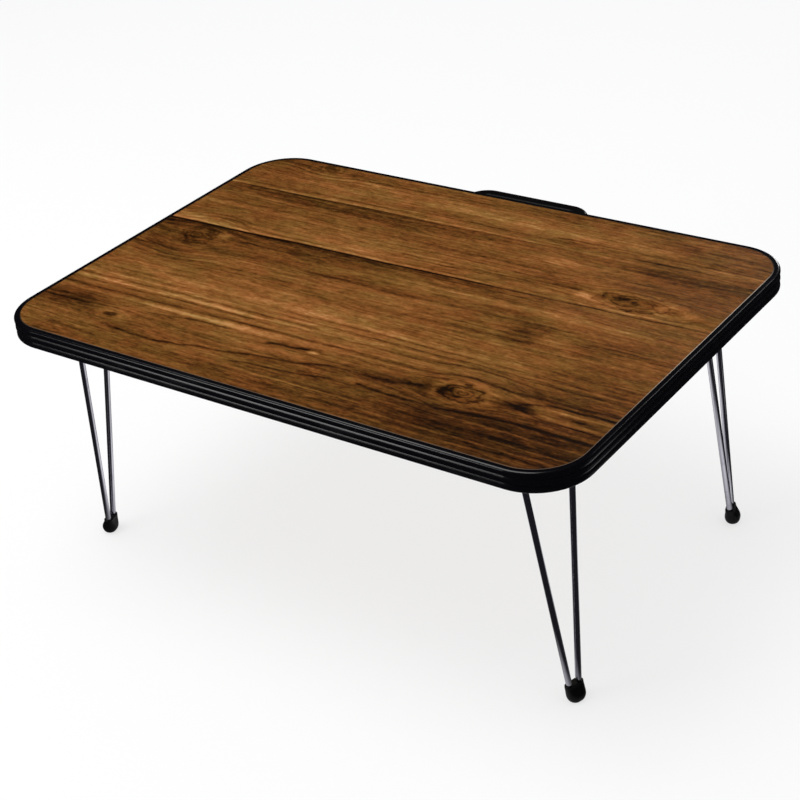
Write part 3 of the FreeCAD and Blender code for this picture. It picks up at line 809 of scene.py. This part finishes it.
def make_cap_plastic(look):
    """Soft black vinyl, a little dusty towards the floor."""
    cap = Finish("black_cap")
    spot = cap.spot()
    _, _, height = cap.parts(spot)
    grain = cap.noise(CAP_GRAIN, spot)
    haze = cap.noise(CAP_HAZE, spot)
    dust = cap.rise(height + haze * DUST_WAVER, *DUST_HEIGHTS)
    return cap.paint(
        Base_Color=cap.mix(dust * DUST_SHARE, opaque(look.cap), opaque(look.scuff)),
        Roughness=haze * CAP_ROUGHER_BY_HAZE + dust * CAP_ROUGHER_BY_DUST + look.cap_roughness,
        Normal=cap.relief(grain, CAP_RELIEF),
        Specular_IOR_Level=look.cap_specular,
    )


class LOWTABLE_OT_plastics(bpy.types.Operator):
    """Finish the edge trim, the carry handle and the foot caps"""

    bl_idname = "lowtable.plastics"
    bl_label = "Black plastics"

    def execute(self, context):
        look = context.scene.low_table_plastic
        dress("edge_trim", make_trim_plastic(look))
        dress("carry_handle", make_handle_plastic(look))
        dress("foot_cap", make_cap_plastic(look))
        return {"FINISHED"}


# Metals: plated wire and zinc-plated sheet


class MetalLook(bpy.types.PropertyGroup):
    wire: colour_property("Wire", "Colour of the bright plated wire", (0.66, 0.65, 0.73))
    wire_haze: colour_property("Wire haze", "Colour where the plating is hazy", (0.46, 0.45, 0.52))
    zinc: colour_property("Zinc", "Colour of the zinc plating", (0.60, 0.62, 0.65))
    zinc_tint: colour_property("Zinc tint", "Colour of the plating's faint tint", (0.62, 0.58, 0.46))
    wire_roughness: share_property("Wire roughness", "Roughness of the bright plated wire", 0.08)
    sheet_roughness: share_property("Sheet roughness", "Roughness of the zinc-plated sheet", 0.36)
    screw_roughness: share_property("Screw roughness", "Roughness of the zinc-plated screws", 0.27)


METAL = 1.0
WIRE_HAZE = Layer(9, 9, 9, 3)
WIRE_DRAW = Layer(0.4, 0.4, 9)
WIRE_RANGE = (0.2, 1.6)
WIRE_ROUGHER_BY_HAZE = 0.02
WIRE_ROUGHER_BY_DRAW = 0.01
WIRE_RELIEF = 0.003
SHEET_ROLL = Layer(30, 0.5, 1.0, 3)
SHEET_CLOUDS = Layer(16, 16, 16)
SHEET_RANGE = (-0.3, 1.2)
SHEET_ROUGHER_BY_CLOUDS = 0.05
SHEET_ROUGHER_BY_ROLL = 0.05
SHEET_RELIEF = 0.008
SCREW_CLOUDS = Layer(2.5, 2.5, 2.5)
SCREW_RANGE = (-0.2, 1.0)
SCREW_ROUGHER = 0.06


def make_bright_wire(look):
    """Bright plate over drawn steel wire, with faint haze."""
    wire = Finish("chrome_wire")
    spot = wire.spot()
    haze = wire.noise(WIRE_HAZE, spot)
    draw = wire.noise(WIRE_DRAW, spot)
    return wire.paint(
        Base_Color=wire.mix(wire.rise(haze, *WIRE_RANGE), opaque(look.wire), opaque(look.wire_haze)),
        Metallic=METAL,
        Roughness=haze * WIRE_ROUGHER_BY_HAZE + draw * WIRE_ROUGHER_BY_DRAW + look.wire_roughness,
        Normal=wire.relief(draw, WIRE_RELIEF),
    )


def make_zinc_plate(look):
    """Zinc-plated sheet with rolling lines and a faint yellow tint."""
    sheet = Finish("zinc_plate")
    spot = sheet.spot()
    clouds = sheet.noise(SHEET_CLOUDS, spot)
    roll = sheet.noise(SHEET_ROLL, spot)
    return sheet.paint(
        Base_Color=sheet.mix(sheet.rise(clouds, *SHEET_RANGE), opaque(look.zinc), opaque(look.zinc_tint)),
        Metallic=METAL,
        Roughness=clouds * SHEET_ROUGHER_BY_CLOUDS + roll * SHEET_ROUGHER_BY_ROLL + look.sheet_roughness,
        Normal=sheet.relief(roll, SHEET_RELIEF),
    )


def make_screw_plate(look):
    """Brighter zinc plating of the screws."""
    screw = Finish("screw_steel")
    clouds = screw.noise(SCREW_CLOUDS, screw.spot())
    return screw.paint(
        Base_Color=screw.mix(screw.rise(clouds, *SCREW_RANGE), opaque(look.zinc), opaque(look.zinc_tint)),
        Metallic=METAL,
        Roughness=clouds * SCREW_ROUGHER + look.screw_roughness,
    )


class LOWTABLE_OT_metals(bpy.types.Operator):
    """Finish the wire legs and the hinge plates"""

    bl_idname = "lowtable.metals"
    bl_label = "Metals"

    def execute(self, context):
        look = context.scene.low_table_metal
        dress("leg_wire", make_bright_wire(look))
        dress("hinge_plate", make_zinc_plate(look))
        return {"FINISHED"}


# Screws: pan heads with a cross recess


class ScrewLook(bpy.types.PropertyGroup):
    head_diameter: length_property("Head diameter", "Across the pan head", 0.007)
    head_height: length_property("Head height", "From the seat to the crown of the head", 0.0022)
    head_round: length_property("Head round", "Round of the head's lower rim", 0.0012)
    shank_diameter: length_property("Shank diameter", "Across the shank", 0.0035)
    point_length: length_property("Point length", "Length of the tapered point", 0.003)
    hinge_length: length_property("Hinge screw length", "Below the head, in a hinge plate", 0.013)
    handle_length: length_property("Handle screw length", "Below the head, in the handle", 0.014)
    recess_span: length_property("Recess span", "From end to end of the cross recess", 0.0038)
    recess_width: length_property("Recess width", "Width of each slot of the recess", 0.0009)
    recess_depth: length_property("Recess depth", "Depth of the cross recess", 0.0011)


SCREW_SIDES = 28
ROUND_STEPS = 4
RECESS_TAPER = 0.6
SMOOTH_ANGLE = math.radians(35)
LEVEL_FACE_NORMAL = 0.9
SCREW_TURN = math.radians(37)
# Places in metres: from the middle of a hinge's pins, along them and inwards, and in the table's frame
HINGE_SCREW_SIDES = (-0.020, 0.020)
HINGE_SCREW_ROWS = (0.008, 0.023)
HANDLE_SCREW_SIDES = (-0.063, 0.063)
HANDLE_SCREW_ROWS = (0.150, 0.164)


def select_faces(piece, is_wanted):
    """Select only the faces of a piece that a test picks, and stay in edit mode."""
    bpy.ops.object.mode_set(mode="OBJECT")
    for face in piece.data.polygons:
        face.select = is_wanted(face)
    bpy.ops.object.mode_set(mode="EDIT")


def add_slot_cutter(look, size):
    """Box that narrows upwards, with its middle on the crown of the head."""
    bpy.ops.object.select_all(action="DESELECT")
    bpy.ops.mesh.primitive_cube_add(size=1.0, location=(0.0, 0.0, -look.head_height), scale=size)
    cutter = bpy.context.object
    bpy.ops.object.mode_set(mode="EDIT")
    bpy.ops.mesh.select_mode(type="FACE")
    select_faces(cutter, lambda face: face.normal.z > LEVEL_FACE_NORMAL)
    bpy.ops.transform.resize(value=(RECESS_TAPER, RECESS_TAPER, 1.0))
    bpy.ops.object.mode_set(mode="OBJECT")
    return cutter


def model_screw(look, length):
    """Pan-head screw with its seat at the origin, its point up and its crown below."""
    bpy.ops.object.select_all(action="DESELECT")
    bpy.ops.mesh.primitive_cylinder_add(
        vertices=SCREW_SIDES,
        radius=look.head_diameter / 2,
        depth=look.head_height,
        location=(0.0, 0.0, -look.head_height / 2),
    )
    screw = bpy.context.object
    bpy.ops.object.transform_apply(location=True, rotation=True, scale=True)
    bpy.ops.object.mode_set(mode="EDIT")
    bpy.ops.mesh.select_mode(type="FACE")
    select_faces(screw, lambda face: face.normal.z < -LEVEL_FACE_NORMAL)
    bpy.ops.mesh.bevel(offset=look.head_round, segments=ROUND_STEPS, affect="EDGES")
    select_faces(screw, lambda face: face.normal.z > LEVEL_FACE_NORMAL)
    bpy.ops.mesh.inset(thickness=(look.head_diameter - look.shank_diameter) / 2)
    straight = length - look.point_length
    bpy.ops.mesh.extrude_region_move(TRANSFORM_OT_translate={"value": (0.0, 0.0, straight)})
    bpy.ops.mesh.extrude_region_move(TRANSFORM_OT_translate={"value": (0.0, 0.0, look.point_length)})
    bpy.ops.mesh.merge(type="CENTER")
    bpy.ops.object.mode_set(mode="OBJECT")

    depth = 2 * look.recess_depth
    sizes = (look.recess_span, look.recess_width, depth), (look.recess_width, look.recess_span, depth)
    for size in sizes:
        cutter = add_slot_cutter(look, size)
        recess = screw.modifiers.new("recess", "BOOLEAN")
        recess.operation = "DIFFERENCE"
        recess.solver = "EXACT"
        recess.object = cutter
        bpy.context.view_layer.objects.active = screw
        bpy.ops.object.modifier_apply(modifier=recess.name)
        bpy.data.objects.remove(cutter)
    bpy.ops.object.select_all(action="DESELECT")
    screw.select_set(True)
    bpy.ops.object.shade_smooth_by_angle(angle=SMOOTH_ANGLE)
    return screw


def fit_screws(look, material, node_name, model, places):
    """Put a copy of the screw at each place and let them stand for a CAD node's screws."""
    low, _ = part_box(node_name)
    bpy.ops.object.select_all(action="DESELECT")
    for index, (x, y) in enumerate(places):
        screw = model.copy()
        screw.data = model.data.copy()
        bpy.context.collection.objects.link(screw)
        seat = Matrix.Translation((x, y, low.z + look.head_height))
        screw.data.transform(seat @ Matrix.Rotation(index * SCREW_TURN, 4, "Z"))
        screw.select_set(True)
        bpy.context.view_layer.objects.active = screw
    bpy.ops.object.join()
    piece = bpy.context.object
    piece.name = node_name.replace("screws", "pan_screws")
    piece.data.materials.append(material)
    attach(piece, "top")
    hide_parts(node_name)


def hinge_screw_places(joint):
    """Plan places of a hinge plate's screws, on either side of its middle and inwards of the pins."""
    pivot = Vector(joint["pos_m"][:2])
    along = Vector(joint["axis"][:2]).normalized()
    inwards = Vector((along.y, -along.x))
    if inwards.dot(pivot) > 0:
        inwards = -inwards
    return [pivot + along * side + inwards * row for row in HINGE_SCREW_ROWS for side in HINGE_SCREW_SIDES]


class LOWTABLE_OT_screws(bpy.types.Operator):
    """Model the screws of the hinge plates and the handle"""

    bl_idname = "lowtable.screws"
    bl_label = "Screws"

    def execute(self, context):
        look = context.scene.low_table_screws
        plate = make_screw_plate(context.scene.low_table_metal)
        dress("hinge_screws", plate)
        dress("handle_screws", plate)
        hinge_screw = model_screw(look, look.hinge_length)
        for joint in frame["joints"]:
            node_name = joint["name"].replace("fold", "hinge_screws")
            fit_screws(look, plate, node_name, hinge_screw, hinge_screw_places(joint))
        handle_screw = model_screw(look, look.handle_length)
        places = [(x, y) for y in HANDLE_SCREW_ROWS for x in HANDLE_SCREW_SIDES]
        fit_screws(look, plate, "handle_screws", handle_screw, places)
        for model in (hinge_screw, handle_screw):
            bpy.data.objects.remove(model)
        return {"FINISHED"}


# Stage: pale floor, soft lights and the camera


class StageLook(bpy.types.PropertyGroup):
    floor: colour_property("Floor", "Colour of the floor", (0.30, 0.30, 0.30))
    floor_light: colour_property("Floor light", "Light that the floor gives off", (0.64, 0.64, 0.64))
    mirrored_floor: colour_property("Mirrored floor", "Bright floor in glossy surfaces", (0.88, 0.88, 0.88))
    backdrop: colour_property("Backdrop", "Colour behind the floor", (0.90, 0.90, 0.91))
    surroundings: colour_property("Surroundings", "Soft light from all round", (0.80, 0.80, 0.82))
    dimness: colour_property("Dimness", "Colour of the room in glossy surfaces", (0.012, 0.012, 0.014))
    camera_azimuth: angle_property("Camera azimuth", "Turn of the camera round the table", 37.82)
    camera_elevation: angle_property("Camera elevation", "Height angle of the camera", 30.33)
    camera_roll: angle_property("Camera roll", "Lean of the camera to one side", 5.79)
    camera_distance: length_property("Camera distance", "From the camera to the point it looks at", 1.6717)
    lens: FloatProperty(name="Lens", description="Focal length in millimetres", default=80.61, unit="CAMERA")


LOOK_AT = (0.0, -0.0241, 0.1438)
BLACK = (0.0, 0.0, 0.0)
FLOOR_SIZE = 16.0
FLOOR_MOTTLE = Layer(900, 900)
FLOOR_RANGE = (-1.0, 1.0)
FLOOR_MOTTLE_SHARE = 0.99
FLOOR_ROUGHNESS = 0.9
FLOOR_SPECULAR = 0.1


class Glow(NamedTuple):
    """A stretch of floor that glossy surfaces mirror as bright: its middle and half its sizes in
    millimetres, and how bright it is."""

    x: float
    y: float
    half_length: float
    half_width: float
    share: float


# Where a glow ends, in halves of its length and width
GLOW_EDGE = 1.9
GLOWS = [
    Glow(20, 10, 210, 150, 1.00),
    Glow(-190, -115, 80, 60, 0.80),
    Glow(330, 50, 70, 70, 0.75),
    Glow(700, 190, 120, 60, 0.35),
    Glow(250, -190, 40, 40, 0.45),
]


class Softbox(NamedTuple):
    """A square light: the azimuth and elevation it shines from, its distance, its size and its power.
    One that is only for shine is seen in glossy surfaces and lights nothing."""

    name: str
    azimuth: float
    elevation: float
    distance: float
    size: float
    power: float
    shine_only: bool = False


SOFTBOXES = [
    Softbox("overhead_light", -60, 72, 2.6, 1.8, 34),
    Softbox("front_left_light", -33, 14, 3.0, 0.9, 11),
    Softbox("right_edge_shine", 158, 36, 3.0, 0.4, 2, True),
    Softbox("corner_shine", 186, 15, 3.0, 0.3, 9, True),
]


def direction(azimuth, elevation):
    """Unit vector from the table towards an azimuth and an elevation, in radians; azimuth 0 is the front."""
    level = math.cos(elevation)
    return Vector((math.sin(azimuth) * level, -math.cos(azimuth) * level, math.sin(elevation)))


def make_floor(look):
    """White floor with faint shadows, which glossy surfaces mirror as dim but for its glows."""
    bpy.ops.mesh.primitive_plane_add(size=FLOOR_SIZE)
    floor = bpy.context.object
    floor.name = "floor"
    paper = Finish("floor_paper")
    spot = paper.spot()
    mottle = paper.noise(FLOOR_MOTTLE, spot)
    darker = scaled(look.floor, FLOOR_MOTTLE_SHARE)
    tint = paper.mix(paper.rise(mottle, *FLOOR_RANGE), opaque(look.floor), opaque(darker))
    glow = 0.0
    for part in GLOWS:
        away = paper.distance(spot, (part.x, part.y), (part.half_length, part.half_width))
        glow = paper.rise(away, GLOW_EDGE, 0.0, part.share) + glow
    mirrored = paper.mix(glow, opaque(look.dimness), opaque(look.mirrored_floor))
    is_mirrored = paper.add("ShaderNodeLightPath", {}, {}, "Is Glossy Ray")
    floor.data.materials.append(paper.paint(
        Base_Color=paper.mix(is_mirrored, tint, opaque(BLACK)),
        Emission_Color=paper.mix(is_mirrored, opaque(look.floor_light), mirrored),
        Emission_Strength=1.0,
        Roughness=FLOOR_ROUGHNESS,
        Specular_IOR_Level=FLOOR_SPECULAR,
    ))
    # Light taken from the floor as from a lamp wouldn't count as a glossy ray, and would grey the trim
    paper.material.cycles.emission_sampling = "NONE"


def add_softbox(softbox):
    bpy.ops.object.light_add(type="AREA")
    light = bpy.context.object
    light.name = softbox.name
    light.data.size = softbox.size
    light.data.energy = softbox.power
    light.visible_diffuse = not softbox.shine_only
    towards = direction(math.radians(softbox.azimuth), math.radians(softbox.elevation))
    light.location = Vector(LOOK_AT) + towards * softbox.distance
    light.rotation_euler = towards.to_track_quat("Z", "Y").to_euler()


def set_world(look):
    """White behind the floor for the camera, dim in glossy surfaces, and soft light from all round for
    the rest."""
    world = bpy.data.worlds.new("studio")
    world.use_nodes = True
    nodes, links = world.node_tree.nodes, world.node_tree.links
    rays = nodes.new("ShaderNodeLightPath")
    light = nodes["Background"]
    light.inputs["Color"].default_value = opaque(look.surroundings)
    for kind, colour in (("Is Glossy Ray", look.dimness), ("Is Camera Ray", look.backdrop)):
        seen = nodes.new("ShaderNodeBackground")
        seen.inputs["Color"].default_value = opaque(colour)
        either = nodes.new("ShaderNodeMixShader")
        links.new(rays.outputs[kind], either.inputs["Fac"])
        links.new(light.outputs[0], either.inputs[1])
        links.new(seen.outputs[0], either.inputs[2])
        light = either
    links.new(light.outputs[0], nodes["World Output"].inputs["Surface"])
    bpy.context.scene.world = world


def place_camera(look):
    """Camera from the photograph's side."""
    bpy.ops.object.camera_add()
    camera = bpy.context.object
    camera.name = "camera"
    camera.data.lens = look.lens
    towards = direction(look.camera_azimuth, look.camera_elevation)
    camera.location = Vector(LOOK_AT) + towards * look.camera_distance
    upright = towards.to_track_quat("Z", "Y").to_matrix()
    camera.rotation_euler = (upright @ Matrix.Rotation(-look.camera_roll, 3, "Z")).to_euler()
    bpy.context.scene.camera = camera


class LOWTABLE_OT_stage(bpy.types.Operator):
    """Set out the floor, the lights and the camera"""

    bl_idname = "lowtable.stage"
    bl_label = "Stage"

    def execute(self, context):
        look = context.scene.low_table_stage
        make_floor(look)
        for softbox in SOFTBOXES:
            add_softbox(softbox)
        set_world(look)
        place_camera(look)
        context.scene.view_settings.view_transform = "Standard"
        return {"FINISHED"}


STEPS = [
    LOWTABLE_OT_wood_print,
    LOWTABLE_OT_board,
    LOWTABLE_OT_plastics,
    LOWTABLE_OT_metals,
    LOWTABLE_OT_screws,
    LOWTABLE_OT_stage,
]
LOOKS = {
    "low_table_print": WoodPrintLook,
    "low_table_board": BoardLook,
    "low_table_plastic": PlasticLook,
    "low_table_metal": MetalLook,
    "low_table_screws": ScrewLook,
    "low_table_stage": StageLook,
}


class LOWTABLE_PT_panel(bpy.types.Panel):
    """Steps that dress the table, in order"""

    bl_label = "Folding Low Table"
    bl_idname = "LOWTABLE_PT_panel"
    bl_space_type = "VIEW_3D"
    bl_region_type = "UI"
    bl_category = "Low Table"

    def draw(self, context):
        for step in STEPS:
            self.layout.operator(step.bl_idname)
        for name, look in LOOKS.items():
            box = self.layout.box()
            for key in look.__annotations__:
                box.prop(getattr(context.scene, name), key)


def register():
    for name, look in LOOKS.items():
        bpy.utils.register_class(look)
        setattr(bpy.types.Scene, name, PointerProperty(type=look))
    for step in STEPS:
        bpy.utils.register_class(step)
    bpy.utils.register_class(LOWTABLE_PT_panel)


def unregister():
    bpy.utils.unregister_class(LOWTABLE_PT_panel)
    for step in reversed(STEPS):
        bpy.utils.unregister_class(step)
    for name, look in LOOKS.items():
        delattr(bpy.types.Scene, name)
        bpy.utils.unregister_class(look)


def main():
    register()
    for step in STEPS:
        family, name = step.bl_idname.split(".")
        getattr(getattr(bpy.ops, family), name)()


if __name__ == "__main__":
    main()
